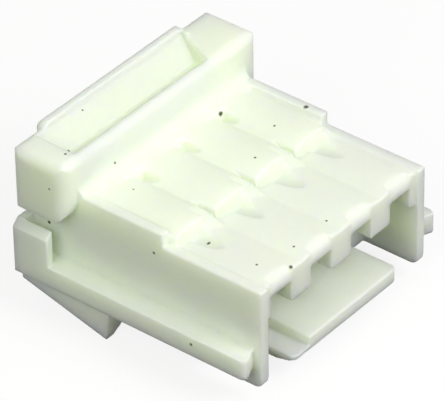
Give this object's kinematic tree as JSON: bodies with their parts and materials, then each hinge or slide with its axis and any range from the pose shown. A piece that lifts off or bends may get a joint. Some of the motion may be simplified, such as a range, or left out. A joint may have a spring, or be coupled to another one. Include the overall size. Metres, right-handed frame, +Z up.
{
  "type": "wire to board connector housing",
  "caption": "Moulded wire to board connector housing with a rear flange, arched covers over its terminal cavities, side guide rails and wedge hooks.",
  "frame": {"origin": "centre of the bounding box's bottom face, level with the hook tips", "axes": "+X along the row of terminal cavities, +Z up from the guide rails' side to the arched covers, -Y out of the mating end, +Y out of the wire end"},
  "size_m": [0.0098, 0.0096, 0.0063],
  "materials": {
    "natural_nylon": "matte"
  },
  "bodies": {
    "root": {"housing": "natural_nylon"}
  },
  "joints": []
}
